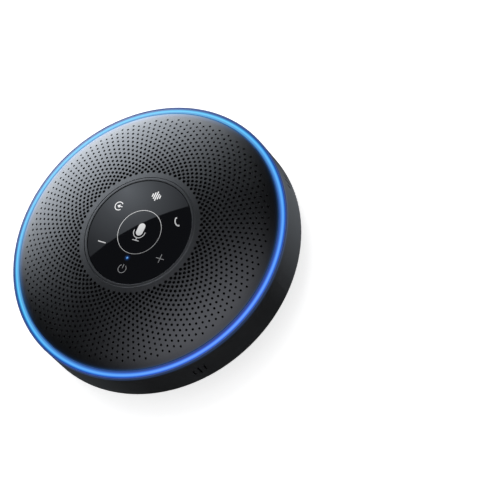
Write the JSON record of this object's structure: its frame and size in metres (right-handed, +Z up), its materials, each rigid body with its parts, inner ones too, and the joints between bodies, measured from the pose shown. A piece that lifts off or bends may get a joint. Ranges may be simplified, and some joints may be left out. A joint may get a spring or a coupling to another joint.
{
  "type": "conference speakerphone",
  "caption": "Round table-top conference speakerphone with a domed perforated cover, a light ring around its edge and a touch panel in the middle.",
  "frame": {"origin": "centre of the rubber foot's underside, on the table", "axes": "+Z up out of the touch panel, +Y towards the sockets and the 12 o'clock key, +X to the right of the keys"},
  "size_m": [0.125, 0.125, 0.037],
  "materials": {
    "rubber_black": "matt",
    "label_grey": "satin film",
    "case_black": "fine spark-eroded texture",
    "screw_steel": "black-nickelled",
    "frame_black": "moulded",
    "board_green": "solder-masked",
    "can_steel": "tin-plated",
    "chip_black": "moulded",
    "can_aluminium": "drawn",
    "socket_black": "moulded",
    "cell_wrap": "foil pouch",
    "foam_grey": "closed-cell foam",
    "basket_steel": "black coated",
    "magnet_steel": "zinc-plated",
    "magnet_ferrite": "ground ferrite",
    "coil_copper": "enamelled winding",
    "cone_paper": "pressed pulp",
    "spider_cloth": "resin-dipped cloth",
    "board_black": "solder-masked",
    "led_white": "moulded LED",
    "ring_diffuser": "frosted, back-lit",
    "grille_black": "fine spark-eroded texture",
    "cloth_black": "woven",
    "mask_white": "moulded",
    "panel_black": "polished",
    "lens_blue": "clear, back-lit",
    "bezel_black": "satin",
    "ribbon_amber": "polyimide film"
  },
  "bodies": {
    "housing": {"acoustic_cloth": "cloth_black", "amplifier_chip": "chip_black", "aux_socket": "socket_black", "base_label": "label_grey", "battery_left": "cell_wrap", "battery_right": "cell_wrap", "battery_trays": "foam_grey", "board_screws": "screw_steel", "bottom_cover": "case_black", "capacitors": "can_aluminium", "case_screws": "screw_steel", "chassis": "frame_black", "coils": "chip_black", "grille_cover": "grille_black", "key_leds": "led_white", "light_mask": "mask_white", "light_ring": "ring_diffuser", "magnet_pad": "foam_grey", "magnet_ring": "magnet_ferrite", "magnet_yoke": "magnet_steel", "main_board": "board_green", "mic_boards": "board_green", "mic_capsules": "can_steel", "mic_gaskets": "rubber_black", "panel_bezel": "bezel_black", "ring_board": "board_black", "ring_leds": "led_white", "rubber_foot": "rubber_black", "shield_can": "can_steel", "side_housing": "case_black", "speaker_basket": "basket_steel", "speaker_box": "frame_black", "speaker_gasket": "foam_grey", "speaker_screws": "screw_steel", "spider": "spider_cloth", "status_lens": "lens_blue", "surround": "rubber_black", "top_plate": "magnet_steel", "touch_board": "board_black", "touch_panel": "panel_black", "touch_ribbon": "ribbon_amber", "usb_socket": "can_steel"},
    "diaphragm": {"voice_coil": "coil_copper", "cone": "cone_paper", "dust_cap": "cone_paper"}
  },
  "joints": [
    {"name": "diaphragm_travel", "type": "slide", "parent": "housing", "child": "diaphragm", "axis": [0, 0, 1], "range_m": [-0.001, 0.001], "stiffness_N_per_m": 1000, "deforming": ["surround", "spider"]}
  ]
}
